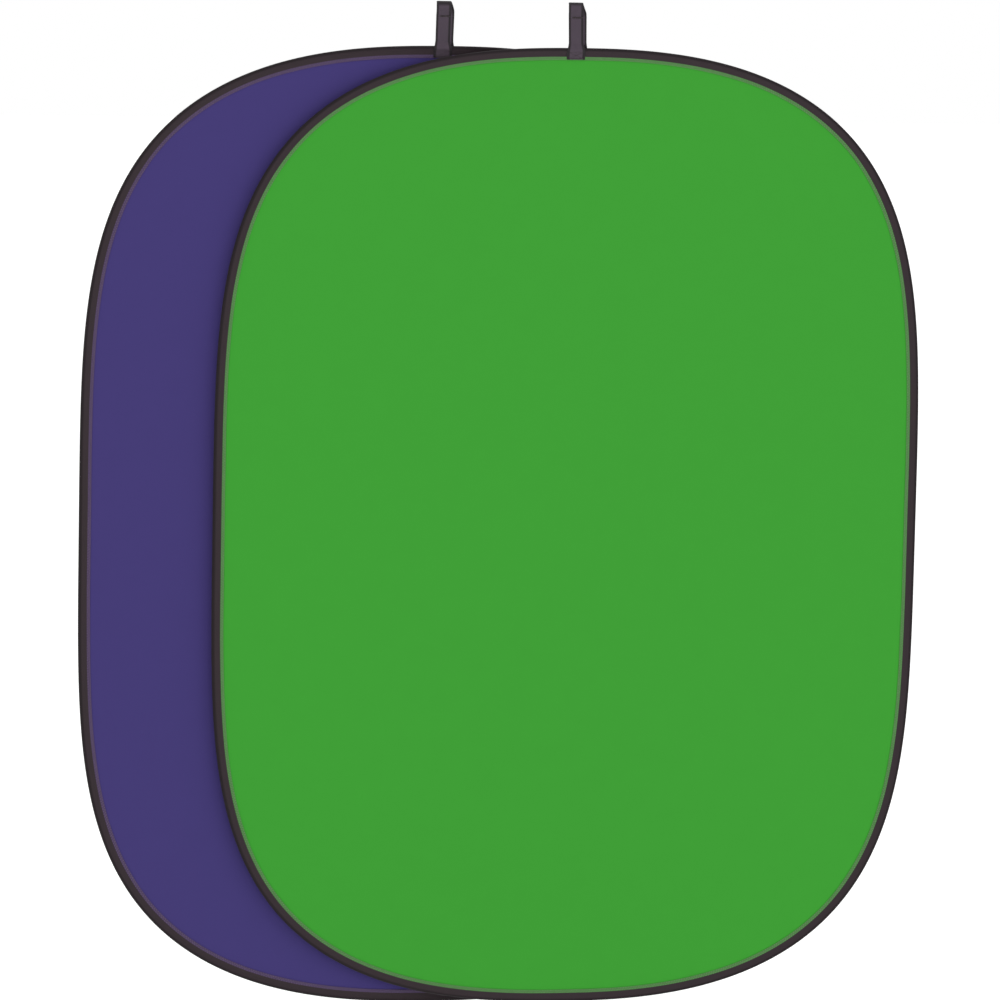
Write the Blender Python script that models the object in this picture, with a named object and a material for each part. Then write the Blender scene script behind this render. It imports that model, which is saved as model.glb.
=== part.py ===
"""Two reversible pop-up chroma backgrounds hung one in front of the other from one rail.

Each unit is a spring-steel hoop inside a bound rim, with a green cloth on one face, a blue cloth on
the other, a blackout lining between them and a webbing loop at the top. The front unit shows its
green face. The rear unit is the same unit turned round, so it shows its blue face.

Metres, +Z up, the front faces -Y. The origin is on the axis of the rail that both loops hang from;
the rail isn't part of the object. A unit's own frame is the front unit's: its rail at the origin,
its green face towards -Y. The hoop lets a unit fold across its middle, so every piece that crosses
mid-height is an upper and a lower node, FOLD_GAP apart.
"""

import math

import bmesh
import bpy
import numpy as np
from mathutils import Vector

# Panel outline: |x / (WIDTH / 2)| ** SIDE_POWER + |z / (HEIGHT / 2)| ** TOP_POWER = 1
WIDTH = 1.48
HEIGHT = 2.00
SIDE_POWER = 2.5
TOP_POWER = 4.0
FLAT_LENGTH = 0.060  # straight stretch of rim under the strap and round the hoop's splice
QUARTER_STEPS = 17

# Bound rim, as a section: inset from the outer edge, and half its depth there
RIM_WIDTH = 0.025
BEAD_HALF = 0.0054
BEAD_START = 0.0014
BEAD_END = 0.0056
NOSE_HALF = 0.0028
TAPE = 0.0007

# Spring-steel hoop and its splice
HOOP_INSET = 0.0026
HOOP_THICKNESS = 0.0012
HOOP_HALF = 0.0035
SPLICE_GAP = 0.001
FERRULE_LENGTH = 0.050
FERRULE_WALL = 0.0005
RIVET_PLACE = 0.015
RIVET_RADIUS = 0.0012
RIVET_HEAD_RADIUS = 0.0022
RIVET_HEAD = 0.0005

# Cloths
CLOTH = 0.0006
CLOTH_INSET = 0.008

# Strap
WEBBING = 0.0018
STRAP_WIDTH = 0.030
TAB_WIDTH = 0.040  # the webbing is spread flat where it is sewn down
EYE_RADIUS = 0.009
NECK = (-0.003, -0.018)  # (y, z) where the two legs part to go round the rail
TAB_RISE = 0.007
TAB_REACH = 0.024
ARC_STEPS = 14

# Places
RIM_TOP = -0.082
PANEL_DEPTH = 0.010
REAR_SHIFT = 0.274
GAP = 0.0003
FOLD_GAP = 0.001
FOLD_STANDOFF = 0.0006
SWING_GAP = 0.0014

PANEL_CENTRE = Vector((0, -PANEL_DEPTH, RIM_TOP - HEIGHT / 2))
SWING_AXIS = Vector((0, -PANEL_DEPTH, RIM_TOP + TAB_RISE))
FOLD_AXIS = PANEL_CENTRE - Vector((0, BEAD_HALF + FOLD_STANDOFF, 0))


def clear_scene():
    for item in list(bpy.data.objects):
        bpy.data.objects.remove(item, do_unlink=True)


def material(name, colour, roughness, metallic=0.0):
    made = bpy.data.materials.new(name)
    made.use_nodes = True
    shader = made.node_tree.nodes["Principled BSDF"]
    shader.inputs["Base Color"].default_value = (*colour, 1)
    shader.inputs["Roughness"].default_value = roughness
    shader.inputs["Metallic"].default_value = metallic
    return made


def quarter_outline():
    """The rim's edge, from the fold at the right side to the flat at the top, as (point, normal out)."""
    a, b = WIDTH / 2, HEIGHT / 2
    first = math.asin((FOLD_GAP / 2 / b) ** (TOP_POWER / 2))
    last = math.acos((FLAT_LENGTH / 2 / a) ** (SIDE_POWER / 2))
    turn = np.linspace(first, last, 4000)
    x = a * np.cos(turn) ** (2 / SIDE_POWER)
    z = b * np.sin(turn) ** (2 / TOP_POWER)
    run = np.concatenate([[0], np.cumsum(np.hypot(np.diff(x), np.diff(z)))])
    stops = np.linspace(0, run[-1], QUARTER_STEPS + 1)
    stations = []
    for px, pz in zip(np.interp(stops, run, x), np.interp(stops, run, z)):
        slope_x = SIDE_POWER / a * (px / a) ** (SIDE_POWER - 1)
        slope_z = TOP_POWER / b * (pz / b) ** (TOP_POWER - 1)
        stations.append((Vector((px, 0, pz)), Vector((slope_x, 0, slope_z)).normalized()))
    side_point, _ = stations[0]
    top_point, _ = stations[-1]
    stations[0] = (side_point, Vector((1, 0, 0)))
    stations[-1] = (top_point, Vector((0, 0, 1)))
    return stations


def half_outline():
    """The upper half of the rim's edge, from the right side over the top to the left side."""
    right = quarter_outline()
    left = [(Vector((-p.x, 0, p.z)), Vector((-n.x, 0, n.z))) for p, n in reversed(right)]
    return right + left


def flat_height():
    """How far the rim's flat stretches lie above and below the panel's centre."""
    top_point, _ = quarter_outline()[-1]
    return top_point.z


def inset_point(station, inset, depth=0.0):
    point, normal = station
    return (point.x - inset * normal.x, depth, point.z - inset * normal.z)


def swept(stations, section):
    """The section, a list of (inset, depth), carried along the stations and closed at both ends."""
    shape = bmesh.new()
    rings = [[shape.verts.new(inset_point(station, *corner)) for corner in section] for station in stations]
    for ring, following in zip(rings, rings[1:]):
        for i in range(len(section)):
            j = (i + 1) % len(section)
            shape.faces.new((ring[i], ring[j], following[j], following[i]))
    shape.faces.new(rings[0])
    shape.faces.new(rings[-1])
    return shape


def extruded(faces, direction):
    """Flat faces, given as lists of points that may share corners, extruded along direction."""
    shape = bmesh.new()
    for corners in faces:
        shape.faces.new([shape.verts.new(corner) for corner in corners])
    bmesh.ops.remove_doubles(shape, verts=shape.verts, dist=1e-6)
    moved = bmesh.ops.extrude_face_region(shape, geom=shape.faces[:])["geom"]
    raised = [item for item in moved if isinstance(item, bmesh.types.BMVert)]
    bmesh.ops.translate(shape, verts=raised, vec=direction)
    bmesh.ops.remove_doubles(shape, verts=shape.verts, dist=1e-6)
    return shape


def finished(name, shape, made_of, flipped=False):
    """The mesh of a shape, its faces pointing out; flipped turns an upper piece into a lower one."""
    if flipped:
        bmesh.ops.scale(shape, vec=(1, 1, -1), verts=shape.verts)
    bmesh.ops.recalc_face_normals(shape, faces=shape.faces)
    mesh = bpy.data.meshes.new(name)
    shape.to_mesh(mesh)
    shape.free()
    mesh.materials.append(made_of)
    mesh.shade_smooth()
    mesh.set_sharp_from_angle(angle=math.radians(30))
    return mesh


def binding_shape():
    """Tape folded round the hoop: a rounded bead outside, two legs closing on the cloths inside."""
    cloths = 1.5 * CLOTH + GAP
    mouth = cloths + GAP
    outer = [(RIM_WIDTH, mouth + TAPE), (BEAD_END, BEAD_HALF), (BEAD_START, BEAD_HALF), (0, NOSE_HALF)]
    inner = [(TAPE, NOSE_HALF), (BEAD_START + TAPE / 2, BEAD_HALF - TAPE), (BEAD_END, BEAD_HALF - TAPE)]
    inner.append((RIM_WIDTH, mouth))
    outside = outer + [(n, -y) for n, y in reversed(outer)]
    inside = [(n, -y) for n, y in reversed(inner)] + inner
    return swept(half_outline(), outside + inside)


def hoop_section():
    inner = HOOP_INSET + HOOP_THICKNESS
    return [(HOOP_INSET, -HOOP_HALF), (inner, -HOOP_HALF), (inner, HOOP_HALF), (HOOP_INSET, HOOP_HALF)]


def hoop_end_shape(side):
    """One end of the band, from mid-height to the splice at the middle; side is 1 or -1."""
    stations = quarter_outline()
    top, normal = stations[-1]
    stations.append((Vector((SPLICE_GAP / 2, 0, top.z)), normal))
    shape = swept(stations, hoop_section())
    bmesh.ops.scale(shape, vec=(side, 1, 1), verts=shape.verts)
    return shape


def ferrule_shape():
    """A sleeve of sheet steel crimped over both ends of the band, open at its two ends."""
    inner_half = HOOP_HALF + GAP
    outer_half = inner_half + FERRULE_WALL
    edge = flat_height()
    inner_low = edge - HOOP_INSET - HOOP_THICKNESS - GAP
    inner_high = edge - HOOP_INSET + GAP
    start = -FERRULE_LENGTH / 2
    outer = [(-outer_half, inner_low - FERRULE_WALL), (outer_half, inner_low - FERRULE_WALL)]
    outer += [(outer_half, inner_high + FERRULE_WALL), (-outer_half, inner_high + FERRULE_WALL)]
    inner = [(-inner_half, inner_low), (inner_half, inner_low)]
    inner += [(inner_half, inner_high), (-inner_half, inner_high)]
    walls = []
    for i in range(4):
        j = (i + 1) % 4
        walls.append([(start, *outer[i]), (start, *outer[j]), (start, *inner[j]), (start, *inner[i])])
    return extruded(walls, (FERRULE_LENGTH, 0, 0))


def turned(profile, steps):
    """A profile of (radius, height) points, first and last on the axis, turned about Z."""
    shape = bmesh.new()
    points = [shape.verts.new((radius, 0, height)) for radius, height in profile]
    edges = [shape.edges.new(pair) for pair in zip(points, points[1:])]
    whole_turn = {"cent": (0, 0, 0), "axis": (0, 0, 1), "angle": math.tau, "steps": steps, "use_merge": True}
    bmesh.ops.spin(shape, geom=points + edges, **whole_turn)
    bmesh.ops.remove_doubles(shape, verts=shape.verts, dist=1e-6)
    return shape


def rivet_shape():
    """A button-headed rivet through the ferrule and one end of the band, centred on the band."""
    reach = HOOP_THICKNESS / 2 + GAP + FERRULE_WALL + GAP
    crown = -reach - RIVET_HEAD
    low = [(0, crown), (0.7 * RIVET_HEAD_RADIUS, crown), (RIVET_HEAD_RADIUS, crown + RIVET_HEAD / 2)]
    low += [(RIVET_HEAD_RADIUS, -reach), (RIVET_RADIUS, -reach)]
    high = [(radius, -height) for radius, height in reversed(low)]
    return turned(low + high, 12)


def rivet_hole_shape():
    depth = HOOP_THICKNESS / 2 + GAP + FERRULE_WALL + GAP
    radius = RIVET_RADIUS + GAP
    return turned([(0, -depth), (radius, -depth), (radius, depth), (0, depth)], 16)


def cloth_shape(layer):
    """One layer of the panel; layer is -1 for the green face, 0 for the lining, 1 for the blue face."""
    middle = layer * (CLOTH + GAP)
    edge = [inset_point(station, CLOTH_INSET, middle - CLOTH / 2) for station in half_outline()]
    return extruded([edge], (0, CLOTH, 0))


def ribbon(path, thickness):
    """Both sides of a strip of webbing whose middle follows path, a list of (y, z) points."""
    points = [Vector(point) for point in path]
    sides = ([], [])
    for i, point in enumerate(points):
        before = (point - points[max(i - 1, 0)]).normalized()
        after = (points[min(i + 1, len(points) - 1)] - point).normalized()
        along = (before + after).normalized()
        spread = thickness / 2 / max(along.dot(before), along.dot(after))
        across = Vector((-along.y, along.x)) * spread
        sides[0].append(point + across)
        sides[1].append(point - across)
    return sides


def strap_faces(left, right, x):
    """The quads between the two sides of a strip, in the plane of one of its edges."""
    faces = []
    for i in range(len(left) - 1):
        faces.append([(x, *left[i]), (x, *left[i + 1]), (x, *right[i + 1]), (x, *right[i])])
    return faces


def tangent_turn(point, radius, side):
    """The angle on a circle at the origin where the line from point touches it, on the given side."""
    return math.atan2(point.y, point.x) + side * math.acos(radius / point.length)


def loop_shape():
    """The free part of the strap: round the rail, and both legs side by side from the neck down."""
    radius = EYE_RADIUS + WEBBING / 2
    low = SWING_AXIS.z + SWING_GAP / 2
    neck = Vector(NECK)
    along = (neck - Vector((-PANEL_DEPTH, low))).normalized()
    across = Vector((along.y, -along.x)) * WEBBING
    back, face = neck + across / 2, neck - across / 2
    first = tangent_turn(back, radius, 1)
    last = tangent_turn(face, radius, -1) + math.tau
    turns = np.linspace(first, last, ARC_STEPS + 1)
    arc = [(radius * math.cos(turn), radius * math.sin(turn)) for turn in turns]
    outside, inside = ribbon([back] + arc + [face], -WEBBING)
    outside[0] = neck + across
    outside[-1] = neck - across
    inside[0] = inside[-1] = neck
    x = -STRAP_WIDTH / 2
    faces = strap_faces(outside, inside, x)
    foot = [(x, -PANEL_DEPTH - WEBBING, low), (x, -PANEL_DEPTH + WEBBING, low)]
    faces.append(foot + [(x, *outside[0]), (x, *inside[0]), (x, *outside[-1])])
    return extruded(faces, (STRAP_WIDTH, 0, 0))


def tab_shape(side):
    """One sewn end of the strap, over the rim's face; side is -1 on the green face and 1 on the blue."""
    over_bead = BEAD_HALF + GAP + WEBBING / 2
    over_mouth = 1.5 * CLOTH + GAP + GAP + TAPE + GAP + WEBBING / 2
    top = TAB_RISE - SWING_GAP / 2
    path = [(GAP / 2 + WEBBING / 2, top), (over_bead, -BEAD_START), (over_bead, -BEAD_END)]
    path.append((over_mouth + GAP, -TAB_REACH))
    rim = HEIGHT / 2
    left, right = ribbon([(side * y, rim + z) for y, z in path], WEBBING)
    for row in (left, right):
        row[0].y = rim + top
    return extruded(strap_faces(left, right, -TAB_WIDTH / 2), (TAB_WIDTH, 0, 0))


def splice_height():
    """How far below the panel's centre the middle of the hoop's band lies at the splice."""
    return flat_height() - HOOP_INSET - HOOP_THICKNESS / 2


def unit_meshes():
    """Every piece of one unit: its name, its mesh, and the axis that it turns on."""
    green = material("green_chroma_cloth", (0.051, 0.347, 0.038), 0.9)
    blue = material("blue_chroma_cloth", (0.060, 0.045, 0.178), 0.9)
    black = material("blackout_lining", (0.012, 0.012, 0.013), 0.95)
    tape = material("binding_tape", (0.022, 0.017, 0.019), 0.8)
    webbing = material("strap_webbing", (0.080, 0.060, 0.078), 0.85)
    steel = material("spring_steel", (0.33, 0.34, 0.36), 0.35, 1.0)
    sleeve = material("ferrule_steel", (0.42, 0.42, 0.43), 0.45, 1.0)
    alloy = material("rivet_alloy", (0.62, 0.62, 0.63), 0.4, 1.0)

    upper_hoop = swept(half_outline(), hoop_section())
    pieces = [
        ("hanging_loop", "loop", finished("hanging_loop", loop_shape(), webbing)),
        ("strap_tab_green_side", "upper", finished("strap_tab_green_side", tab_shape(-1), webbing)),
        ("strap_tab_blue_side", "upper", finished("strap_tab_blue_side", tab_shape(1), webbing)),
        ("hoop_upper", "upper", finished("hoop_upper", upper_hoop, steel)),
        ("hoop_lower_right", "lower", finished("hoop_lower_right", hoop_end_shape(1), steel, flipped=True)),
        ("hoop_lower_left", "lower", finished("hoop_lower_left", hoop_end_shape(-1), steel, flipped=True)),
        ("ferrule", "lower", finished("ferrule", ferrule_shape(), sleeve, flipped=True)),
    ]
    layers = [("green_cloth", -1, green), ("lining", 0, black), ("blue_cloth", 1, blue)]
    for half in ("upper", "lower"):
        flipped = half == "lower"
        name = "binding_" + half
        pieces.append((name, half, finished(name, binding_shape(), tape, flipped)))
        for cloth, layer, made_of in layers:
            name = cloth + "_" + half
            pieces.append((name, half, finished(name, cloth_shape(layer), made_of, flipped)))
    rivet = finished("rivet", rivet_shape(), alloy)
    return pieces, rivet


def empty(name, place, parent=None):
    holder = bpy.data.objects.new(name, None)
    holder.empty_display_size = 0.05
    bpy.context.collection.objects.link(holder)
    holder.parent = parent
    holder.location = place
    return holder


def placed(name, mesh, parent, place):
    part = bpy.data.objects.new(name, mesh)
    bpy.context.collection.objects.link(part)
    part.parent = parent
    part.location = place
    return part


def drilled(part, cutter):
    cut = part.modifiers.new("rivet_hole", "BOOLEAN")
    cut.operation = "DIFFERENCE"
    cut.solver = "EXACT"
    cut.object = cutter


def add_unit(name, place, turned_round, pieces, rivet, hole):
    """One background, parented to its swing and fold axes."""
    unit = empty(name + "_unit", place)
    unit.rotation_euler.z = math.pi if turned_round else 0
    swing = empty(name + "_swing_axis", SWING_AXIS, unit)
    fold = empty(name + "_fold_axis", FOLD_AXIS - SWING_AXIS, swing)
    holders = {
        "loop": (unit, Vector()),
        "upper": (swing, PANEL_CENTRE - SWING_AXIS),
        "lower": (fold, PANEL_CENTRE - FOLD_AXIS),
    }
    parts = {}
    for piece, body, mesh in pieces:
        parent, offset = holders[body]
        parts[piece] = placed(name + "_" + piece, mesh, parent, offset)
    for side, hand in ((1, "right"), (-1, "left")):
        spot = PANEL_CENTRE - FOLD_AXIS + Vector((side * RIVET_PLACE, 0, -splice_height()))
        placed(name + "_rivet_" + hand, rivet, fold, spot)
        cutter = placed(name + "_rivet_hole_" + hand, hole, fold, spot)
        cutter.hide_render = True
        cutter.display_type = "WIRE"
        drilled(parts["hoop_lower_" + hand], cutter)
        drilled(parts["ferrule"], cutter)


def main():
    clear_scene()
    pieces, rivet = unit_meshes()
    hole = finished("rivet_hole", rivet_hole_shape(), rivet.materials[0])
    add_unit("front", (0, 0, 0), False, pieces, rivet, hole)
    add_unit("rear", (-REAR_SHIFT, 0, 0), True, pieces, rivet, hole)


main()
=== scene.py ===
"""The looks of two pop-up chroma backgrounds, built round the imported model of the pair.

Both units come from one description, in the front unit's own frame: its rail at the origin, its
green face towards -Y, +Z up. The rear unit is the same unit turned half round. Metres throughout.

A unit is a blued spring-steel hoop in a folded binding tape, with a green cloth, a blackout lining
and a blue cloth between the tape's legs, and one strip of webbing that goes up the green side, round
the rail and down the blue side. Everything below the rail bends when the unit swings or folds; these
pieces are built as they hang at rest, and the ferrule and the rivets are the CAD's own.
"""

import math

import bpy
import numpy as np
from mathutils import Matrix, Vector


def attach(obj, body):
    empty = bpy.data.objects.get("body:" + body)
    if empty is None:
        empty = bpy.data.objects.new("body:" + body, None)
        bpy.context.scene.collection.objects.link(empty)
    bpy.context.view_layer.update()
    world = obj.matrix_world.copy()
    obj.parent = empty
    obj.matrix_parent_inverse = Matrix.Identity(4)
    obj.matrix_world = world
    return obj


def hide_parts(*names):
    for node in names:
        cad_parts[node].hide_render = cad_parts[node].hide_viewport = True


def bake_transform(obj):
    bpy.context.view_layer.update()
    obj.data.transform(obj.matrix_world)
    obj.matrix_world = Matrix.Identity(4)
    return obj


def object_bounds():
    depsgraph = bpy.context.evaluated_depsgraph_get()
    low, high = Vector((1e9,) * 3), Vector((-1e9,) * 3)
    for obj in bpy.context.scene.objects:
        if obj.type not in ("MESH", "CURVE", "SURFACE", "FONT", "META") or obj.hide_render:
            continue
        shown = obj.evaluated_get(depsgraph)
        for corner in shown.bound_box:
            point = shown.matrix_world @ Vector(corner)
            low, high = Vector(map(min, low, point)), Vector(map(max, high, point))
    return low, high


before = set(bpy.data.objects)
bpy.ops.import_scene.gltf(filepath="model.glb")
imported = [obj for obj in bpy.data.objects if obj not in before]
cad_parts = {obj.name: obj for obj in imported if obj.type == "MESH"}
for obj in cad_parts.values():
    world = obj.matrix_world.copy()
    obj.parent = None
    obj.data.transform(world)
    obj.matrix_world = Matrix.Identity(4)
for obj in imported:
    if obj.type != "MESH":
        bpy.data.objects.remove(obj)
CAD_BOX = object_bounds()

# Driving dimensions of one unit
WIDTH = 1.48
HEIGHT = 2.00
SIDE_POWER = 2.5
TOP_POWER = 4.0
PANEL_Y = -0.010
RIM_TOP = -0.082
REAR_SHIFT = -0.274
CENTRE_Z = RIM_TOP - HEIGHT / 2
RIM_STATIONS = 640

# Binding tape
RIM_WIDTH = 0.025
TAPE = 0.0006
CLOTH_STACK = 0.0012  # from the mid-plane to the outer face of a cloth
BEAD_RUN = 0.0075  # along the tape, from the nose to where the hoop's channel ends
TAPE_COLUMNS = 24
PUCKER = 0.00032  # how high the tape's edge ripples
EDGE_DRIFT = 0.00035  # how far the tape's edge wanders in or out
JOIN = (0.048, 0.074)  # the lapped ends of the tape, as distances along the rim from the bottom
JOIN_ROWS = 15
LAP = 0.00025  # thickness of the lapped end at its edges
LAP_FOLD = 0.0003  # how much thicker it is between them
EDGING = 0.0072  # width of the tape's overlocked inner edge, in a paler tone of the cloth
EDGING_PITCH = 0.0056
GREEN_EDGING = (0.080, 0.215, 0.062)
BLUE_EDGING = (0.076, 0.049, 0.108)

# Cloths and hoop
GREEN = (0.0385, 0.2920, 0.0268)
BLUE = (0.0460, 0.0338, 0.1495)
CLOTH = 0.0005
CLOTH_OFFSET = 0.0009
CLOTH_INSET = 0.008
CLOTH_RINGS = 46
CLOTH_SPOKES = 320
TUCKS = 6
TUCK = 0.00004  # depth of each of them, by the rim
TUCK_WAVES = (38, 90)  # fewest and most of its waves round the rim
TUCK_START = 0.72  # from the centre to the rim, where they set in
SWELL = 0.0008  # how far the middle of a cloth stands off its plane
HOOP_INSET = 0.0026
HOOP_THICKNESS = 0.0012
HOOP_HALF = 0.0035
HOOP_SOFT = 0.0003
SPLICE_HALF = 0.0005

# Strap
WEBBING = 0.0016
STRAP_WIDTH = 0.030
ROOT_WIDTH = 0.038
STRAP_GAP = 0.0003  # between the webbing and the tape under it
LEG_GAP = 0.0001  # from the line between a strap's two legs to either of them
EYE_RADIUS = 0.0099  # to the middle of the webbing
NECK = (-0.003, -0.018)
LEG_FOOT = -0.0745
TAB_TOP = 0.0026  # how far down the rim the webbing meets the bead
TAB_REACH = 0.0245  # how far down the rim the sewn ends reach
ROOT_RISE = 0.012  # how far above the rim the webbing starts to widen
ROOT_BLEND = 0.022  # the height over which it does
STRAP_TWIST = -7.0  # degrees at the rail, about the vertical
STRAP_SKEW = 0.0036  # how far the near leg stands to the left and the far leg to the right
CROSSING = 0.12  # share of the strap's length in which it moves from one line to the other
STRAP_RIB = 0.00005
STRAP_RIBS = 7
STRAP_CUP = 0.0003
STRAP_ROWS = 260
STRAP_COLUMNS = 17
DARK_SELVEDGE_AND_SHADE = (0.0052, 0.0036)  # in from the webbing's edge, where its dark selvedge starts and is full; the band is partly the selvedge's own tone and partly painted shade at the strap's edges and between its legs
RAIL_SHADE = (0.009, 0.014)  # from the rail, where the band of painted shade across the top of the wrap starts to fade and where it ends

# Stitches
THREAD = 0.00035
STITCH_SIDES = 5
STITCH_ROWS = 7
TAB_STITCH = 0.0030
TAB_BOX = (0.0088, 0.0222)  # the top and bottom of the box of stitches, below the rim's edge
TAB_BOX_INSET = 0.0042  # of its sides from the tab's
TAB_BAR = 0.0211  # the second row at its foot
NECK_STITCHES = 36
NECK_TACK = (0.0010, 0.0042)  # where the zigzag's two edges lie below the neck

# The studio and the view
FLOOR_DROP = 0.25
FLOOR_REACH = 30.0
FLOOR_GLOW = 0.35
SOFTBOXES = [  # name, place, size and watts
    ("key", (-3.2, -4.2, 1.6), (2.4, 2.4), 26),
    ("fill", (3.6, -3.8, 0.6), (2.4, 2.4), 16),
    ("rim", (0.5, 4.2, 1.8), (2.4, 2.0), 22),
]
SENSOR = 36.0  # mm
VIEW_DISTANCE = 12.0
VIEW_WIDTH = 2.0758
VIEW_TURNS = {"Z": 8.89, "X": 7.71, "Y": 1.16}  # degrees, in this order, that bring the pair into view
VIEW_SLIDE = (-0.0025, 0.0608)  # of the camera, to its right and up


# ---------------------------------------------------------------- shading helpers


class Shade:
    """A material and short calls for adding nodes to it."""

    def __init__(self, name):
        self.material = bpy.data.materials.new(name)
        self.material.use_nodes = True
        self.tree = self.material.node_tree
        self.shader = self.tree.nodes["Principled BSDF"]

    def put(self, socket, value):
        self.shader.inputs[socket].default_value = value

    def link(self, output, socket):
        self.tree.links.new(output, socket)

    def node(self, kind, inputs=(), **settings):
        made = self.tree.nodes.new("ShaderNode" + kind)
        for key, value in settings.items():
            setattr(made, key, value)
        for key, value in dict(inputs).items():
            if isinstance(value, bpy.types.NodeSocket):
                self.link(value, made.inputs[key])
            else:
                made.inputs[key].default_value = value
        return made

    def cut(self):
        """The point on the flat cut of the cloth or tape, in metres, from the UV map."""
        return self.node("UVMap", uv_map="cut").outputs["UV"]

    def place(self):
        return self.node("TexCoord").outputs["Object"]

    def stretched(self, vector, scale):
        return self.node("Mapping", {"Vector": vector, "Scale": scale}).outputs["Vector"]

    def noise(self, vector, scale, detail=2.0, roughness=0.5):
        inputs = {"Vector": vector, "Scale": scale, "Detail": detail, "Roughness": roughness}
        return self.node("TexNoise", inputs).outputs["Fac"]

    def wave(self, vector, per_metre, direction, distortion=0.0):
        # At scale 1 a wave texture has 20 / tau waves to the metre
        inputs = {"Vector": vector, "Scale": per_metre * math.tau / 20, "Distortion": distortion}
        inputs["Detail Scale"] = 2.0
        made = self.node("TexWave", inputs, bands_direction=direction, wave_profile="SIN")
        return made.outputs["Fac"]

    def math(self, operation, first, second=0.5, third=0.0):
        made = self.node("Math", {0: first, 1: second, 2: third}, operation=operation)
        return made.outputs[0]

    def ranged(self, value, low, high, to_low=0.0, to_high=1.0):
        inputs = {"Value": value, "From Min": low, "From Max": high}
        inputs.update({"To Min": to_low, "To Max": to_high})
        return self.node("MapRange", inputs).outputs["Result"]

    def mixed(self, factor, first, second):
        made = self.node("Mix", data_type="RGBA")
        for socket, value in (("Factor_Float", factor), ("A_Color", first), ("B_Color", second)):
            target = next(s for s in made.inputs if s.identifier == socket)
            if isinstance(value, bpy.types.NodeSocket):
                self.link(value, target)
            else:
                target.default_value = value
        return next(s for s in made.outputs if s.identifier == "Result_Color")

    def tinted(self, colour, value, share):
        """The colour made darker and lighter by up to share as value goes from 0 to 1."""
        low = tuple(c * (1 - share) for c in colour)
        high = tuple(c * (1 + share) for c in colour)
        return self.mixed(value, (*low, 1), (*high, 1))

    def bumped(self, heights):
        """Bump from a list of (height, depth in metres), the first lowest in the chain."""
        normal = None
        for height, depth in heights:
            inputs = {"Height": height, "Distance": depth, "Strength": 1.0}
            if normal is not None:
                inputs["Normal"] = normal
            normal = self.node("Bump", inputs).outputs["Normal"]
        self.link(normal, self.shader.inputs["Normal"])


def cloth_material(name, colour, sheen):
    """Brushed chroma cloth: a fine plain weave under a soft nap, dyed very evenly."""
    made = Shade(name)
    cut = made.cut()
    warp = made.wave(cut, 1250, "X", 0.6)
    weft = made.wave(cut, 1150, "Y", 0.6)
    weave = made.math("MULTIPLY", warp, weft)
    nap = made.noise(made.stretched(cut, (420, 900, 1)), 1.0, 3.0, 0.6)
    slub = made.noise(made.stretched(cut, (14, 420, 1)), 1.0, 2.0)
    dye = made.noise(cut, 16.0, 3.0)
    tone = made.math("MULTIPLY_ADD", dye, 0.25, made.math("MULTIPLY", nap, 0.55))
    tone = made.math("MULTIPLY_ADD", slub, 0.2, tone)
    made.link(made.tinted(colour, tone, 0.06), made.shader.inputs["Base Color"])
    made.link(made.ranged(nap, 0.25, 0.75, 0.86, 0.97), made.shader.inputs["Roughness"])
    made.put("Specular IOR Level", 0.18)
    made.put("Sheen Weight", sheen)
    made.put("Sheen Roughness", 0.6)
    made.put("Sheen Tint", (*colour, 1))
    made.bumped([(nap, 0.00022), (weave, 0.00012), (slub, 0.00006)])
    return made.material


def lining_material():
    """Blackout lining: a close plain weave with a rubbed matt coating."""
    made = Shade("blackout_lining")
    cut = made.cut()
    weave = made.math("MULTIPLY", made.wave(cut, 900, "X"), made.wave(cut, 900, "Y"))
    rubbed = made.noise(cut, 22.0, 4.0)
    made.link(made.tinted((0.012, 0.012, 0.013), rubbed, 0.3), made.shader.inputs["Base Color"])
    made.link(made.ranged(rubbed, 0.3, 0.7, 0.82, 0.96), made.shader.inputs["Roughness"])
    made.put("Specular IOR Level", 0.2)
    made.bumped([(weave, 0.0001)])
    return made.material


def binding_material():
    """Grosgrain binding tape: ribs across its width, each edge overlocked in its own cloth's tone."""
    made = Shade("binding_tape")
    cut = made.cut()
    across = made.node("SeparateXYZ", {"Vector": cut}).outputs["Y"]
    ribs = made.wave(cut, 780, "X", 0.4)
    fill = made.wave(cut, 1500, "Y", 0.5)
    wear = made.noise(made.stretched(cut, (30, 160, 1)), 1.0, 4.0)
    fuzz = made.noise(cut, 1400.0, 2.0)
    reach = made.math("ABSOLUTE", across)
    edge = made.ranged(reach, TAPE_EDGE - EDGING, TAPE_EDGE - EDGING + 0.0006)
    nose = made.ranged(reach, BEAD_RUN, BEAD_RUN * 1.5, 1.0, 0.0)
    blue_side = made.ranged(across, -0.001, 0.001)
    body = made.tinted((0.0320, 0.0225, 0.0265), wear, 0.22)
    dark = made.tinted((0.0150, 0.0105, 0.0125), wear, 0.25)
    pale = made.mixed(
        blue_side, made.tinted(GREEN_EDGING, ribs, 0.25), made.tinted(BLUE_EDGING, ribs, 0.25)
    )
    colour = made.mixed(edge, made.mixed(nose, body, dark), pale)
    made.link(colour, made.shader.inputs["Base Color"])
    made.link(made.ranged(wear, 0.3, 0.7, 0.70, 0.88), made.shader.inputs["Roughness"])
    made.put("Specular IOR Level", 0.15)
    made.put("Sheen Weight", 0.04)
    made.put("Sheen Roughness", 0.45)
    made.bumped([(fuzz, 0.00005), (fill, 0.00005), (ribs, 0.00016)])
    return made.material


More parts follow.
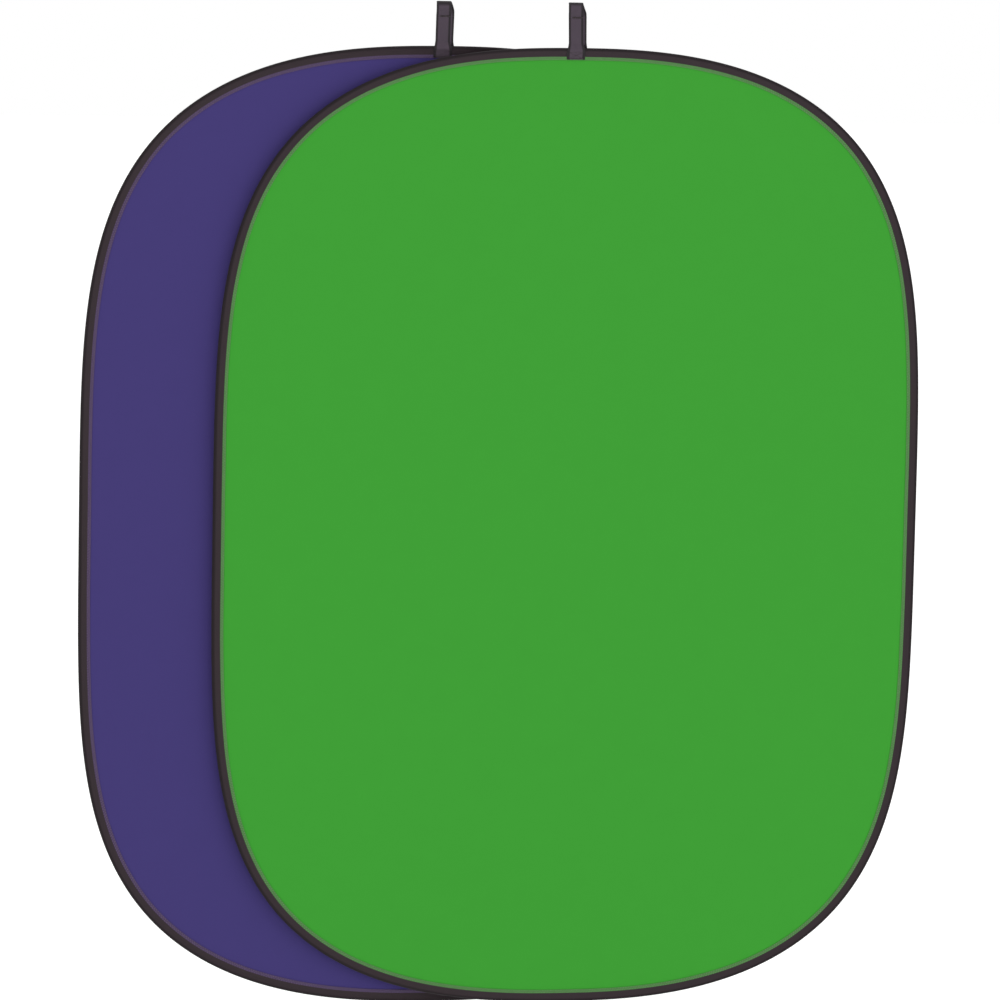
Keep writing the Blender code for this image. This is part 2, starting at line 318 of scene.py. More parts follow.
def webbing_material():
    """Woven webbing: raised ribs along it, a herringbone of picks across, darker bound selvedges that
    are partly painted shade, and a band of painted shade across the wrap over the rail.
    """
    made = Shade("strap_webbing")
    cut = made.cut()
    parts = made.node("SeparateXYZ", {"Vector": cut})
    across, along = parts.outputs["X"], parts.outputs["Y"]
    ribs = made.wave(cut, 420, "X", 0.0)
    zigzag = made.math("PINGPONG", across, 0.0024)
    slant = made.math("ADD", along, made.math("MULTIPLY", zigzag, 0.8))
    lean = made.node("CombineXYZ", {"X": across, "Y": slant}).outputs["Vector"]
    picks = made.wave(lean, 640, "Y", 0.3)
    fuzz = made.noise(cut, 1500.0, 2.0)
    wear = made.noise(made.stretched(cut, (40, 90, 1)), 1.0, 4.0)
    reach = made.math("ABSOLUTE", across)
    # Dark band along both edges: partly the selvedge's own tone, partly painted shade at the edges and
    # in the gap between the legs.
    edge = made.ranged(reach, *(STRAP_WIDTH / 2 - inset for inset in DARK_SELVEDGE_AND_SHADE))
    body = made.tinted((0.066, 0.0475, 0.067), wear, 0.18)
    dark = made.tinted((0.014, 0.010, 0.013), wear, 0.18)
    # Painted shade: a dark band across the top of the wrap, where the webbing goes over the rail.
    from_rail = made.math("ABSOLUTE", made.math("SUBTRACT", along, STRAP_MIDDLE))
    clear = made.ranged(from_rail, *RAIL_SHADE)
    plain = made.mixed(clear, dark, made.mixed(edge, body, dark))
    shaded = made.mixed(made.math("MULTIPLY", picks, 0.35), plain, dark)
    made.link(shaded, made.shader.inputs["Base Color"])
    made.link(made.ranged(wear, 0.3, 0.7, 0.66, 0.84), made.shader.inputs["Roughness"])
    made.put("Specular IOR Level", 0.3)
    made.put("Sheen Weight", 0.12)
    made.put("Sheen Roughness", 0.4)
    made.bumped([(fuzz, 0.00005), (picks, 0.00017), (ribs, 0.00014)])
    return made.material


def thread_material(name, colour):
    """Two-ply sewing thread: a fine twist along each stitch."""
    made = Shade(name)
    cut = made.cut()
    twist = made.wave(cut, 1600, "DIAGONAL", 0.2)
    uneven = made.noise(made.place(), 300.0, 2.0)
    made.link(made.tinted(colour, uneven, 0.25), made.shader.inputs["Base Color"])
    made.link(made.ranged(uneven, 0.3, 0.7, 0.45, 0.6), made.shader.inputs["Roughness"])
    made.put("Sheen Weight", 0.15)
    made.bumped([(twist, 0.00008)])
    return made.material


def metal_material(name, colour, grain, rough, marks):
    """Drawn or pressed metal: a grain along it, and stains or rubbed marks."""
    made = Shade(name)
    place = made.place()
    drawn = made.noise(made.stretched(place, grain), 1.0, 4.0)
    stain = made.noise(place, 160.0, 5.0, 0.6)
    spots = made.ranged(stain, 0.42, 0.62)
    made.link(made.mixed(spots, (*colour, 1), (*marks, 1)), made.shader.inputs["Base Color"])
    made.link(made.ranged(drawn, 0.3, 0.7, rough - 0.08, rough + 0.12), made.shader.inputs["Roughness"])
    made.put("Metallic", 1.0)
    made.bumped([(drawn, 0.00003), (stain, 0.00002)])
    return made.material


# ---------------------------------------------------------------- geometry helpers


def add_mesh(name, points, faces, made_of, cut=None, smooth_angle=None, joined_at=None):
    """A mesh object; cut gives a UV point, in metres on the flat material, for every vertex.
    On a ring of quads joined_at is the length of the strip, so that its last quads reach its end."""
    mesh = bpy.data.meshes.new(name)
    mesh.from_pydata([tuple(p) for p in points], [], faces)
    mesh.update()
    if cut is not None:
        layer = mesh.uv_layers.new(name="cut")
        corners = np.zeros(len(mesh.loops), int)
        mesh.loops.foreach_get("vertex_index", corners)
        flat = np.asarray(cut, float)[corners]
        if joined_at is not None:
            along = flat[:, 0].reshape(-1, 4)
            split = np.ptp(along, axis=1) > joined_at / 2
            along[split[:, None] & (along < joined_at / 2)] += joined_at
        layer.data.foreach_set("uv", flat.astype(np.float32).ravel())
    mesh.materials.append(made_of)
    mesh.shade_smooth()
    if smooth_angle is not None:
        mesh.set_sharp_from_angle(angle=math.radians(smooth_angle))
    made = bpy.data.objects.new(name, mesh)
    bpy.context.collection.objects.link(made)
    return made


def grid_faces(rows, columns, row_closed, column_closed):
    """Quads between the points of a grid stored row after row."""
    faces = []
    for i in range(rows if row_closed else rows - 1):
        for j in range(columns if column_closed else columns - 1):
            a, b = i * columns, ((i + 1) % rows) * columns
            k = (j + 1) % columns
            faces.append((a + j, b + j, b + k, a + k))
    return faces


def superellipse(turn):
    """Points on the panel's edge, from its centre, as (x, z)."""
    c, s = np.cos(turn), np.sin(turn)
    x = WIDTH / 2 * np.sign(c) * np.abs(c) ** (2 / SIDE_POWER)
    z = HEIGHT / 2 * np.sign(s) * np.abs(s) ** (2 / TOP_POWER)
    return np.stack([x, z], 1)


def rim_line():
    """Evenly spaced stations round the edge from the middle of the bottom, anticlockwise as seen
    from the green side: points, outward normals and the distance along."""
    turn = np.linspace(-math.pi / 2, 1.5 * math.pi, 40001)
    dense = superellipse(turn)
    steps = np.hypot(*np.diff(dense, axis=0).T)
    run = np.concatenate([[0], np.cumsum(steps)])
    stops = np.linspace(0, run[-1], RIM_STATIONS, endpoint=False)
    points = np.stack([np.interp(stops, run, dense[:, k]) for k in (0, 1)], 1)
    x, z = points.T
    slope_x = SIDE_POWER * 2 / WIDTH * np.sign(x) * np.abs(2 * x / WIDTH) ** (SIDE_POWER - 1)
    slope_z = TOP_POWER * 2 / HEIGHT * np.sign(z) * np.abs(2 * z / HEIGHT) ** (TOP_POWER - 1)
    normals = np.stack([slope_x, slope_z], 1)
    normals /= np.linalg.norm(normals, axis=1)[:, None]
    return points, normals, stops, run[-1]


RIM_POINTS, RIM_NORMALS, RIM_RUN, RIM_LENGTH = rim_line()


def rim_at(run):
    """The edge's points and outward normals at these distances along it."""
    closed = np.append(RIM_RUN, RIM_LENGTH)
    run = np.mod(run, RIM_LENGTH)
    sampled = []
    for values in (RIM_POINTS, RIM_NORMALS):
        values = np.vstack([values, values[:1]])
        sampled.append(np.stack([np.interp(run, closed, values[:, k]) for k in (0, 1)], 1))
    points, normals = sampled
    return points, normals / np.linalg.norm(normals, axis=1)[:, None]


def from_rim(place, inset, depth):
    """Points in the unit's frame, inset from these places on the edge, at a depth from mid-plane."""
    points, normals = place
    spot = points - np.reshape(inset, (-1, 1)) * normals
    return np.stack([spot[:, 0], PANEL_Y + depth + 0 * spot[:, 0], CENTRE_Z + spot[:, 1]], 1)


def smooth_line(points, count):
    """Evenly spaced points on a Catmull-Rom curve through the given ones."""
    p = np.asarray(points, float)
    p = np.vstack([2 * p[0] - p[1], p, 2 * p[-1] - p[-2]])
    fine = []
    for i in range(1, len(p) - 2):
        t = np.linspace(0, 1, 24, endpoint=False)[:, None]
        a, b, c, d = p[i - 1], p[i], p[i + 1], p[i + 2]
        curve = 2 * b + (c - a) * t + (2 * a - 5 * b + 4 * c - d) * t**2
        fine.append(0.5 * (curve + (3 * b - a - 3 * c + d) * t**3))
    fine = np.vstack([*fine, p[-2][None]])
    run = np.concatenate([[0], np.cumsum(np.linalg.norm(np.diff(fine, axis=0), axis=1))])
    stops = np.linspace(0, run[-1], count)
    return np.stack([np.interp(stops, run, fine[:, k]) for k in range(p.shape[1])], 1)


def waviness(seed, wave_count, run, shortest, longest):
    """A repeatable sum of waves along a closed run, from about -1 to 1."""
    rng = np.random.default_rng(seed)
    total = np.zeros_like(run)
    for _ in range(wave_count):
        turn = math.tau * round(RIM_LENGTH / rng.uniform(shortest, longest)) * run / RIM_LENGTH
        total += rng.uniform(0.4, 1) * np.sin(turn + rng.uniform(0, math.tau))
    return total / (0.7 * wave_count)


# ---------------------------------------------------------------- pieces of a unit

# Outer surface of the tape on one face, as (inset, depth), from the nose of the bead inwards
TAPE_FACE = [
    (0.0, 0.0),
    (0.00025, 0.0019),
    (0.00105, 0.0037),
    (0.0024, 0.00495),
    (0.0040, 0.0054),
    (0.0056, 0.0052),
    (0.0078, 0.0044),
    (0.0105, 0.0035),
    (0.0140, 0.0027),
    (0.0190, 0.00225),
    (RIM_WIDTH, CLOTH_STACK + TAPE + 0.0003),
]
FACE_LINE = smooth_line(TAPE_FACE, TAPE_COLUMNS)
FACE_RUN = np.concatenate([[0], np.cumsum(np.linalg.norm(np.diff(FACE_LINE, axis=0), axis=1))])
TAPE_EDGE = FACE_RUN[-1]


def tape_depth(inset):
    """How far the tape's outer face stands from the mid-plane at an inset from the edge."""
    return np.interp(inset, FACE_LINE[:, 0], FACE_LINE[:, 1])


def tape_line(depth):
    """The tape's outer face on one side, as (inset, depth) points, moved into it by a depth."""
    slope = np.gradient(FACE_LINE, axis=0)
    inward = np.stack([slope[:, 1], -slope[:, 0]], 1)
    return FACE_LINE + inward / np.linalg.norm(inward, axis=1)[:, None] * depth


def tape_section(outside, inside):
    """The closed outline of a layer of tape folded over the rim, as (inset, depth, run across it).
    It lies between these distances outside and inside the line of the binding's outer face."""
    section = []
    for offset, first_side in ((-outside, -1), (inside, 1)):
        line = tape_line(offset)
        for side in (first_side, -first_side):
            ordered = slice(None, None, -1) if side == first_side else slice(1, None)
            for point, along in zip(line[ordered], FACE_RUN[ordered]):
                section.append((point[0], side * max(point[1], 0), side * along))
    return section


def binding(unit, made_of):
    """The tape folded over the rim: a closed ring with a bead round the hoop and puckered edges."""
    section = tape_section(0.0, TAPE)
    flat_start = 1.2 * BEAD_RUN
    rows = []
    pucker = {}
    for side in (-1, 1):
        ripples = waviness(11 + side, 5, RIM_RUN, 0.014, 0.034)
        lulls = 0.55 + 0.45 * waviness(21 + side, 3, RIM_RUN, 0.25, 0.7)
        pucker[side] = np.clip(ripples * np.clip(lulls, 0.1, 1), -1, 1)
    edge_drift = waviness(31, 4, RIM_RUN, 0.12, 0.5)
    place = rim_at(RIM_RUN)
    for n, y, along in section:
        side = 1 if along > 0 else -1
        share = np.clip((abs(along) - flat_start) / (TAPE_EDGE - flat_start), 0, 1)
        lift = side * share**1.5 * PUCKER * (0.6 + pucker[side])
        inset = n + share * EDGE_DRIFT * edge_drift
        rows.append(from_rim(place, inset, y + lift))
    points = np.stack(rows, 1).reshape(-1, 3)
    across = [along for _, _, along in section]
    cut = np.stack([np.repeat(RIM_RUN, len(section)), np.tile(across, RIM_STATIONS)], 1)
    faces = grid_faces(RIM_STATIONS, len(section), True, True)
    return add_mesh(unit + "binding", points, faces, made_of, cut, 60, joined_at=RIM_LENGTH)


def binding_join(unit, made_of):
    """Where the tape's ends meet, near the bottom: one end folded under and lapped over the other."""
    runs = np.linspace(*JOIN, JOIN_ROWS)
    share = np.linspace(0, 1, JOIN_ROWS)
    lift = LAP + LAP_FOLD * np.clip(np.minimum(share, 1 - share) * 9, 0, 1) ** 0.5
    place = rim_at(runs)
    rows = []
    outside = slice(2 * TAPE_COLUMNS - 1)
    inner = tape_section(0.00004, 0.0)[outside]
    metre_out = tape_section(1.0, 0.0)[outside]  # the same points moved a metre out
    for (n0, y0, _), (n1, y1, _) in zip(inner, metre_out):
        rows.append(from_rim(place, n0 + (n1 - n0) * lift, y0 + (y1 - y0) * lift))
    for n0, y0, _ in reversed(inner):
        rows.append(from_rim(place, n0, y0))
    runs_across = [along for _, _, along in inner]
    points = np.stack(rows, 1).reshape(-1, 3)
    across = runs_across + runs_across[::-1]
    cut = np.stack([np.repeat(runs + 0.5, len(across)), np.tile(across, len(runs))], 1)
    faces = grid_faces(len(runs), len(across), False, True)
    count = len(across)
    for row in (0, len(runs) - 1):
        for j in range(count // 2 - 1):
            quad = (j, j + 1, count - 2 - j, count - 1 - j)
            faces.append(tuple(row * count + k for k in (quad if row else reversed(quad))))
    return add_mesh(unit + "binding_join", points, faces, made_of, cut, 50)


def cloth(unit, name, layer, made_of):
    """One layer of the panel, a thin closed shell held taut by the rim; layer is -1, 0 or 1."""
    take = np.arange(0, RIM_STATIONS, RIM_STATIONS // CLOTH_SPOKES)
    fractions = 1 - np.linspace(0, 1, CLOTH_RINGS, endpoint=False) ** 1.6
    outline = (RIM_POINTS - CLOTH_INSET * RIM_NORMALS)[take]
    flat = np.vstack([*(outline * fraction for fraction in fractions), np.zeros((1, 2))])
    middle = layer * CLOTH_OFFSET + cloth_relief(flat, layer)
    points = []
    for face in (-1, 1):
        depth = middle + face * CLOTH / 2
        points.append(np.stack([flat[:, 0], PANEL_Y + depth, CENTRE_Z + flat[:, 1]], 1))
    count = len(flat)
    last_ring = (CLOTH_RINGS - 1) * CLOTH_SPOKES
    faces = grid_faces(CLOTH_RINGS, CLOTH_SPOKES, False, True)
    edge = []
    for spoke in range(CLOTH_SPOKES):
        following = (spoke + 1) % CLOTH_SPOKES
        faces.append((last_ring + spoke, count - 1, last_ring + following))
        edge.append((spoke, following, following + count, spoke + count))
    front = [tuple(reversed(face)) for face in faces]
    back = [tuple(i + count for i in face) for face in faces]
    cut = np.vstack([flat, flat])
    return add_mesh(unit + name, np.vstack(points), front + back + edge, made_of, cut, 50)


def cloth_relief(flat, layer):
    """How far a taut cloth stands off its own plane: short tucks by the rim, long soft waves inside."""
    if layer == 0:
        return np.zeros(len(flat))
    x, z = flat.T
    turn = np.arctan2(z / HEIGHT, x / WIDTH)
    rng = np.random.default_rng(5 + layer)
    tucks = np.zeros(len(flat))
    for _ in range(TUCKS):
        size, waves, phase = rng.uniform(0.5, 1), rng.integers(*TUCK_WAVES), rng.uniform(0, math.tau)
        tucks += size * np.sin(turn * waves + phase)
    reach = np.abs(x * 2 / WIDTH) ** SIDE_POWER + np.abs(z * 2 / HEIGHT) ** TOP_POWER
    near_rim = np.clip((reach - TUCK_START) / (1 - TUCK_START), 0, 1) ** 2
    inside = np.clip(1 - np.hypot(x * 2 / WIDTH, z * 2 / HEIGHT), 0, 1)
    swell = 1 + 0.5 * np.sin(x * 5.1 + layer) * np.sin(z * 3.7 + 0.6)
    return layer * (TUCK * near_rim * tucks + SWELL * inside * swell)


def hoop(unit, made_of):
    """The spring-steel band: one open ring with its two ends a millimetre apart at the bottom."""
    runs = np.linspace(SPLICE_HALF, RIM_LENGTH - SPLICE_HALF, RIM_STATIONS + 1)
    place = rim_at(runs)
    low, high = HOOP_INSET, HOOP_INSET + HOOP_THICKNESS
    half, soft = HOOP_HALF, HOOP_SOFT
    corners = [(low, -half + soft), (low, half - soft), (low + soft, half), (high - soft, half)]
    corners += [(high, half - soft), (high, -half + soft), (high - soft, -half), (low + soft, -half)]
    points = np.stack([from_rim(place, n, y) for n, y in corners], 1).reshape(-1, 3)
    count = len(corners)
    faces = grid_faces(len(runs), count, False, True)
    faces.append(tuple(range(count)))
    faces.append(tuple(reversed(range(len(points) - count, len(points)))))
    cut = np.stack([np.repeat(runs, count), np.tile([c[1] for c in corners], len(runs))], 1)
    return add_mesh(unit + "hoop", points, faces, made_of, cut, 40)


def strap_path():
    """The middle of the webbing as (y, z) from the green tab's end, over the rail, to the blue tab's."""
    radius, thick = EYE_RADIUS, WEBBING
    neck = np.array(NECK)
    foot = np.array([PANEL_Y, LEG_FOOT])
    along = (neck - foot) / np.linalg.norm(neck - foot)
    across = np.array([along[1], -along[0]]) * (thick / 2 + LEG_GAP)
    tangents = []
    for side in (-1, 1):
        start = neck + side * across
        reach = math.acos(radius / np.linalg.norm(start))
        tangents.append((start, math.atan2(start[1], start[0]) + side * reach))
    (front_neck, front_turn), (back_neck, back_turn) = tangents
    if front_turn < back_turn:
        front_turn += math.tau
    turns = np.linspace(front_turn, back_turn, 22)
    eye = [(radius * math.cos(t), radius * math.sin(t)) for t in turns]
    tab = []
    for n, y in tape_line(-(thick / 2 + STRAP_GAP)):
        if TAB_TOP < n < TAB_REACH:
            tab.append((y, RIM_TOP - n))
    tab = tab[::-1]
    bead, apex = np.array(tab[-1]), np.array([thick / 2 + STRAP_GAP, LEG_FOOT + 0.0002])
    for share, sag in ((0.3, 0.0003), (0.6, 0.0001), (0.9, -0.0001)):
        tab.append(tuple(bead + (apex - bead) * share + (sag, 0)))
    leg_low = foot + along * 0.0012
    legs = []
    for side in (-1, 1):
        start = leg_low + side * across
        end = front_neck if side < 0 else back_neck
        legs.append([start + (end - start) * t for t in np.linspace(0, 1, 12)])
    green = [(PANEL_Y - y, z) for y, z in tab]
    blue = [(PANEL_Y + y, z) for y, z in tab]
    path = green + legs[0] + eye + legs[1][::-1] + blue[::-1]
    return np.array([tuple(p) for p in path])


STRAP_LINE = smooth_line(strap_path(), STRAP_ROWS)
STRAP_RUN = np.concatenate([[0], np.cumsum(np.linalg.norm(np.diff(STRAP_LINE, axis=0), axis=1))])
STRAP_MIDDLE = STRAP_RUN[-1] / 2


def eased(share):
    """A smooth step from 0 to 1."""
    share = np.clip(share, 0, 1)
    return share * share * (3 - 2 * share)


def twisted(x, y, z):
    """Points of the strap after its twist about the vertical, which grows from the rim to the rail."""
    height = np.clip((z - RIM_TOP) / -RIM_TOP, 0, 1)
    turn = math.radians(STRAP_TWIST) * height**1.5
    centre = PANEL_Y * (1 - height)
    c, s = np.cos(turn), np.sin(turn)
    return np.stack([x * c - (y - centre) * s, centre + x * s + (y - centre) * c, z], -1)


def strap(unit, made_of, rear):
    """One strip of webbing: ribbed, with rounded selvedges, a slight twist and spread-out ends.
    It crosses from the near leg's line to the far leg's on the far side of the rail."""
    line, run = STRAP_LINE, STRAP_RUN
    tangent = np.gradient(line, axis=0)
    tangent /= np.linalg.norm(tangent, axis=1)[:, None]
    normal = np.stack([-tangent[:, 1], tangent[:, 0]], 1)
    low = eased((RIM_TOP + ROOT_RISE - line[:, 1]) / ROOT_BLEND)
    width = STRAP_WIDTH + (ROOT_WIDTH - STRAP_WIDTH) * low
    front = run < run[-1] / 2
    crossed = run / run[-1] - 0.5 - (-0.5 if rear else 0.5) * CROSSING
    drift = STRAP_SKEW * (2 * eased(crossed / CROSSING + 0.5) - 1)
    u = np.linspace(-1, 1, STRAP_COLUMNS)
    plump = np.sqrt(np.clip(1 - np.abs(u) ** 6, 0, 1))
    ribs = STRAP_RIB * np.cos(u * math.pi * STRAP_RIBS)
    cup = STRAP_CUP * (u**2 - 0.4)
    sides = []
    for face in (-1, 1):
        body = face * plump * (WEBBING / 2 + ribs)
        off = body[None, :] + cup[None, :] * (1 - low[:, None]) * np.where(front, 1, -1)[:, None]
        x = u[None, :] * width[:, None] / 2 + drift[:, None]
        y = line[:, 0][:, None] + normal[:, 0][:, None] * off
        z = line[:, 1][:, None] + normal[:, 1][:, None] * off
        sides.append(twisted(x, y, z))
    lower, upper = sides
    ring = np.concatenate([lower, upper[:, ::-1][:, 1:-1]], 1)
    columns = ring.shape[1]
    flat_u = np.concatenate([u, u[::-1][1:-1]]) * STRAP_WIDTH / 2
    cut = np.stack([np.tile(flat_u, STRAP_ROWS), np.repeat(run, columns)], 1)
    faces = grid_faces(STRAP_ROWS, columns, False, True)
    faces.append(tuple(range(columns)))
    faces.append(tuple(reversed(range((STRAP_ROWS - 1) * columns, STRAP_ROWS * columns))))
    return add_mesh(unit + "strap", ring.reshape(-1, 3), faces, made_of, cut, 50)


def stitch_mesh(name, starts, ends, outs, made_of):
    """Lock stitches, each a short bent thread that rises out of the cloth and dips back in."""
    t = np.linspace(0, 1, STITCH_ROWS)
    rise = THREAD * (1.15 * np.sin(math.pi * t) ** 0.5 - 0.45)
    thick = THREAD * (0.72 + 0.28 * np.sin(math.pi * t))
    along = ends - starts
    out = outs / np.linalg.norm(outs, axis=1)[:, None]
    side = np.cross(along, out)
    side /= np.linalg.norm(side, axis=1)[:, None]
    angle = np.linspace(0, math.tau, STITCH_SIDES, endpoint=False)
    middle = starts[:, None] + along[:, None] * t[None, :, None] + out[:, None] * rise[None, :, None]
    ring = np.cos(angle)[None, None, :, None] * side[:, None, None]
    ring = ring + np.sin(angle)[None, None, :, None] * out[:, None, None]
    points = middle[:, :, None] + ring * thick[None, :, None, None]
    count = STITCH_ROWS * STITCH_SIDES
    faces = []
    one = grid_faces(STITCH_ROWS, STITCH_SIDES, False, True)
    one.append(tuple(range(STITCH_SIDES)))
    one.append(tuple(reversed(range(count - STITCH_SIDES, count))))
    for i in range(len(starts)):
        faces += [tuple(k + i * count for k in f) for f in one]
    length = np.linalg.norm(along, axis=1)
    v = np.repeat((np.arange(len(starts))[:, None] * 0.01 + length[:, None] * t[None]), STITCH_SIDES)
    u = np.tile(angle * THREAD, len(starts) * STITCH_ROWS)
    return add_mesh(name, points.reshape(-1, 3), faces, made_of, np.stack([u, v], 1), 60)


def rim_stitches(unit, name, side, made_of):
    """The overlocked edge that closes the binding on one face: a zigzag over the tape's edging."""
    number = round(RIM_LENGTH / EDGING_PITCH)
    pitch = RIM_LENGTH / number
    outer = (RIM_WIDTH - EDGING + 0.0003, 0.0002)  # inset, and height above the tape's own line
    inner = (RIM_WIDTH - 0.0005, 0.0004)
    lap_height = 0.0006
    starts, ends = [], []
    for step, (leaves, arrives) in enumerate(((outer, inner), (inner, outer))):
        at = (np.arange(number) + step / 2) * pitch
        lap = np.where((at > JOIN[0] - pitch) & (at < JOIN[1]), lap_height, 0.0)
        for points, stops, (inset, rise) in ((starts, at, leaves), (ends, at + pitch * 0.47, arrives)):
            depth = side * (tape_depth(inset) + rise + lap)
            points.append(from_rim(rim_at(stops), inset, depth))
    starts, ends = np.concatenate(starts), np.concatenate(ends)
    middle = (starts + ends) / 2
    under_tab = np.abs(middle[:, 0] - side * STRAP_SKEW) < ROOT_WIDTH / 2 + 0.003
    clear = ~(under_tab & (middle[:, 2] > CENTRE_Z))
    outs = np.tile([0.0, float(side), 0.0], (len(starts), 1))
    return stitch_mesh(unit + name, starts[clear], ends[clear], outs[clear], made_of)


def tab_stitches(unit, made_of):
    """A box of stitches with a cross in it, through both tabs and the rim, and a bar at its foot."""
    half = ROOT_WIDTH / 2 - TAB_BOX_INSET
    top, bottom, bar = (RIM_TOP - drop for drop in (*TAB_BOX, TAB_BAR))
    lines = [((-half, bottom), (half, bottom)), ((-half, top), (half, top))]
    lines += [((-half, bottom), (-half, top)), ((half, bottom), (half, top))]
    lines += [((-half, bottom), (half, top)), ((-half, top), (half, bottom))]
    lines += [((-half, bar), (half, bar))]
    starts, ends, outs = [], [], []
    for (x0, z0), (x1, z1) in lines:
        length = math.hypot(x1 - x0, z1 - z0)
        number = max(2, round(length / TAB_STITCH))
        for i in range(number):
            first, last = (i + 0.1) / number, (i + 0.88) / number
            for side in (-1, 1):
                pair = []
                for t in (first, last):
                    x, z = x0 + (x1 - x0) * t, z0 + (z1 - z0) * t
                    depth = tape_depth(RIM_TOP - z) + STRAP_GAP + WEBBING + 0.00015
                    pair.append((x + side * STRAP_SKEW, PANEL_Y + side * depth, z))
                starts.append(pair[0])
                ends.append(pair[1])
                outs.append((0.0, float(side), 0.0))
    return stitch_mesh(unit + "strap_stitches", *map(np.array, (starts, ends, outs)), made_of)


def neck_stitches(unit, made_of):
    """The bar of zigzag stitches under the rail that keeps the loop's eye, through both legs."""
    neck, foot = np.array(NECK), np.array([PANEL_Y, LEG_FOOT])
    down = (foot - neck) / np.linalg.norm(foot - neck)
    out = np.array([down[1], -down[0]])
    half = STRAP_WIDTH / 2 - STRAP_SKEW - 0.0008
    starts, ends, outs = [], [], []
    for i in range(NECK_STITCHES):
        for side in (-1, 1):
            pair = []
            for step, along in ((i, NECK_TACK[i % 2]), (i + 0.9, NECK_TACK[(i + 1) % 2])):
                y, z = neck + down * along + side * -out * (WEBBING + 0.0002)
                pair.append((-half + 2 * half * step / NECK_STITCHES, y, z))
            starts.append(pair[0])
            ends.append(pair[1])
            outs.append((0.0, -side * out[0], -side * out[1]))
    starts, ends = (twisted(*np.array(points).T) for points in (starts, ends))
    return stitch_mesh(unit + "neck_stitches", starts, ends, np.array(outs), made_of)


# ---------------------------------------------------------------- both units


def turned_round(piece):
    """Moves a piece from the front unit's place to the rear unit's."""
    points = np.zeros(len(piece.data.vertices) * 3, np.float32)
    piece.data.vertices.foreach_get("co", points)
    points = points.reshape(-1, 3)
    points[:, 0] = -points[:, 0] + REAR_SHIFT
    points[:, 1] = -points[:, 1]
    piece.data.vertices.foreach_set("co", points.ravel())
    piece.data.update()


def make_materials():
    """Every finish by a short name."""
    return {
        "green": cloth_material("green_chroma_cloth", GREEN, 0.05),
        "blue": cloth_material("blue_chroma_cloth", BLUE, 0.05),
        "lining": lining_material(),
        "tape": binding_material(),
        "webbing": webbing_material(),
        "green_thread": thread_material("green_thread", (0.100, 0.235, 0.080)),
        "blue_thread": thread_material("blue_thread", (0.094, 0.062, 0.128)),
        "tack_thread": thread_material("tack_thread", (0.018, 0.009, 0.010)),
        "steel": metal_material(
            "blued_spring_steel", (0.15, 0.17, 0.21), (6, 900, 900), 0.34, (0.22, 0.19, 0.17)
        ),
        "ferrule": metal_material(
            "pressed_steel", (0.42, 0.42, 0.43), (40, 1200, 1200), 0.40, (0.34, 0.33, 0.31)
        ),
        "rivet": metal_material(
            "satin_rivet", (0.62, 0.62, 0.63), (700, 700, 700), 0.38, (0.50, 0.50, 0.51)
        ),
    }


def build_unit(unit, rear, finish):
    """Every visible piece of one unit, what the stitches and the tape's join ride on, which CAD parts
    they replace and what each is made of.
    """
    steel = hoop(unit, finish["steel"])
    tape = binding(unit, finish["tape"])
    green = cloth(unit, "green_cloth", -1, finish["green"])
    lining = cloth(unit, "lining", 0, finish["lining"])
    blue = cloth(unit, "blue_cloth", 1, finish["blue"])
    green_row = rim_stitches(unit, "rim_stitches_green_side", -1, finish["green_thread"])
    blue_row = rim_stitches(unit, "rim_stitches_blue_side", 1, finish["blue_thread"])
    webbing = strap(unit, finish["webbing"], rear)
    tacks = tab_stitches(unit, finish["tack_thread"])
    neck = neck_stitches(unit, finish["tack_thread"])
    join = binding_join(unit, finish["tape"])
    if rear:
        for piece in (steel, tape, green, lining, blue, green_row, blue_row, webbing, tacks, neck, join):
            turned_round(piece)

    loop, upper, lower = (unit + body for body in ("loop", "upper", "lower"))
    for piece in (steel, tape, green, lining, blue, green_row, blue_row):
        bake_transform(piece)
    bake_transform(webbing)
    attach(tacks, upper)
    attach(neck, loop)
    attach(join, lower)

    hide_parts(*(unit + "hoop_" + part for part in ("upper", "lower_right", "lower_left")))
    halved = ((tape, "binding"), (green, "green_cloth"), (lining, "lining"), (blue, "blue_cloth"))
    for piece, name in halved:
        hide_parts(unit + name + "_upper", unit + name + "_lower")
    tabs = (unit + "strap_tab_green_side", unit + "strap_tab_blue_side")
    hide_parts(unit + "hanging_loop", *tabs)

    slots = ((steel, "spring_steel"), (tape, "binding_tape"), (green, "green_cloth"))
    slots += ((lining, "lining"), (blue, "blue_cloth"), (webbing, "webbing"), (join, "binding_tape"))

    for node, made_of in (("ferrule", "ferrule"), ("rivet_right", "rivet"), ("rivet_left", "rivet")):
        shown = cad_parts[unit + node]
        shown.data.materials.clear()
        shown.data.materials.append(finish[made_of])


# ---------------------------------------------------------------- studio


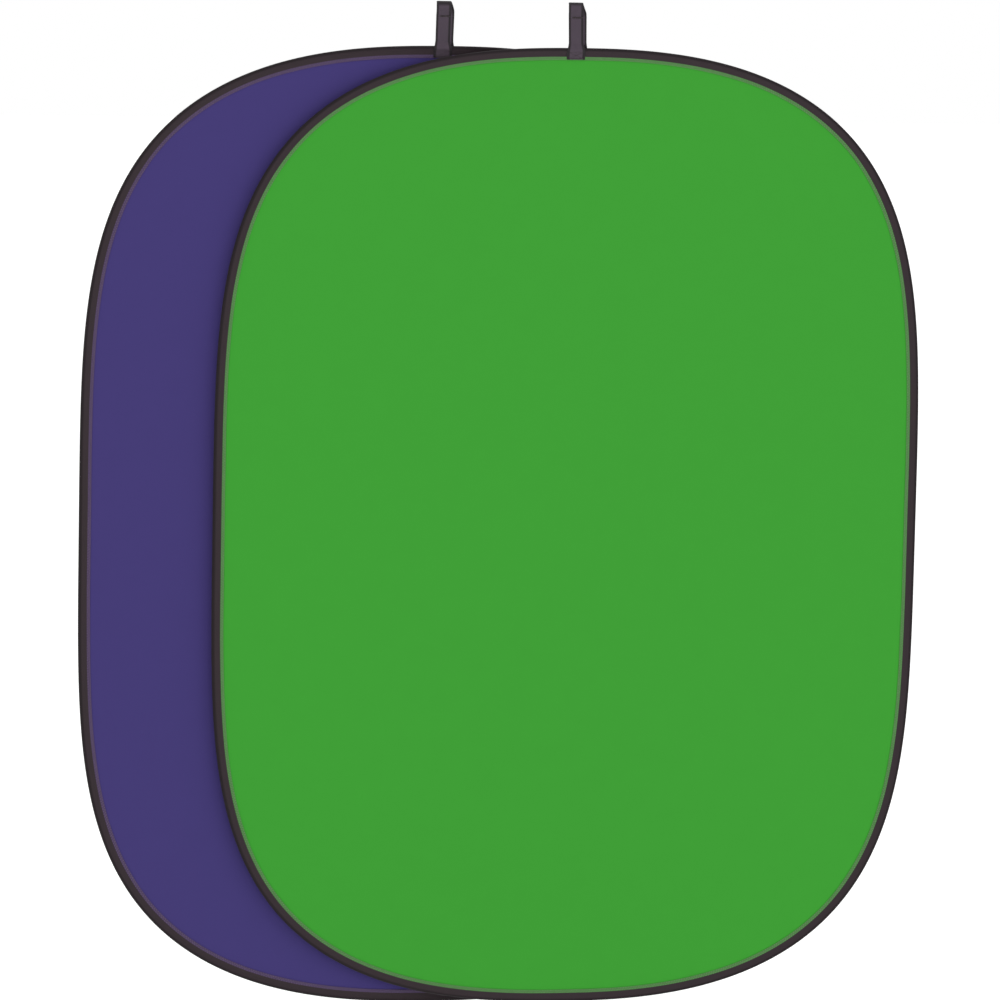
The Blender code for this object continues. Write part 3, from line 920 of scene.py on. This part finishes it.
def add_light(name, place, aim, size, power):
    """A softbox that faces a point."""
    data = bpy.data.lights.new(name, "AREA")
    data.shape = "RECTANGLE"
    data.size, data.size_y = size
    data.energy = power
    light = bpy.data.objects.new(name, data)
    bpy.context.collection.objects.link(light)
    light.location = place
    light.rotation_euler = (aim - light.location).to_track_quat("-Z", "Y").to_euler()


def add_studio():
    """White surroundings, a pale floor well below the hanging pair and three soft lights."""
    world = bpy.data.worlds.new("studio")
    bpy.context.scene.world = world
    world.use_nodes = True
    background = world.node_tree.nodes["Background"]
    background.inputs["Color"].default_value = (1.0, 1.0, 1.0, 1)
    background.inputs["Strength"].default_value = 1.0

    floor = Shade("studio_floor")
    grain = floor.noise(floor.place(), 3.0, 3.0)
    floor.link(floor.tinted((0.86, 0.86, 0.86), grain, 0.01), floor.shader.inputs["Base Color"])
    floor.put("Roughness", 0.9)
    floor.put("Emission Color", (1, 1, 1, 1))
    floor.put("Emission Strength", FLOOR_GLOW)
    low, reach = CAD_BOX[0].z - FLOOR_DROP, FLOOR_REACH
    corners = [(-reach, -reach, low), (reach, -reach, low), (reach, reach, low), (-reach, reach, low)]
    ground = add_mesh("studio_floor", corners, [(0, 1, 2, 3)], floor.material)

    centre = (CAD_BOX[0] + CAD_BOX[1]) / 2
    for name, place, size, power in SOFTBOXES:
        add_light(name, place, centre, size, power)


def add_camera():
    """A distant camera, square to the pair but for a small turn, tilt and roll."""
    data = bpy.data.cameras.new("camera")
    data.sensor_width = SENSOR
    data.lens = SENSOR * VIEW_DISTANCE / VIEW_WIDTH
    data.clip_start, data.clip_end = 0.1, 200.0
    camera = bpy.data.objects.new("camera", data)
    bpy.context.collection.objects.link(camera)
    turn = Matrix.Identity(3)
    for axis, degrees in VIEW_TURNS.items():
        turn = Matrix.Rotation(math.radians(degrees), 3, axis) @ turn
    right, forward, up = turn
    centre = Vector((REAR_SHIFT / 2, 0, CENTRE_Z))
    slide = right * VIEW_SLIDE[0] + up * VIEW_SLIDE[1]
    camera.matrix_world = Matrix((right, up, -forward)).transposed().to_4x4()
    camera.location = centre + slide - forward * VIEW_DISTANCE
    bpy.context.scene.camera = camera


bpy.context.scene.view_settings.view_transform = "Standard"
finish = make_materials()
build_unit("front_", False, finish)
build_unit("rear_", True, finish)
add_studio()
add_camera()
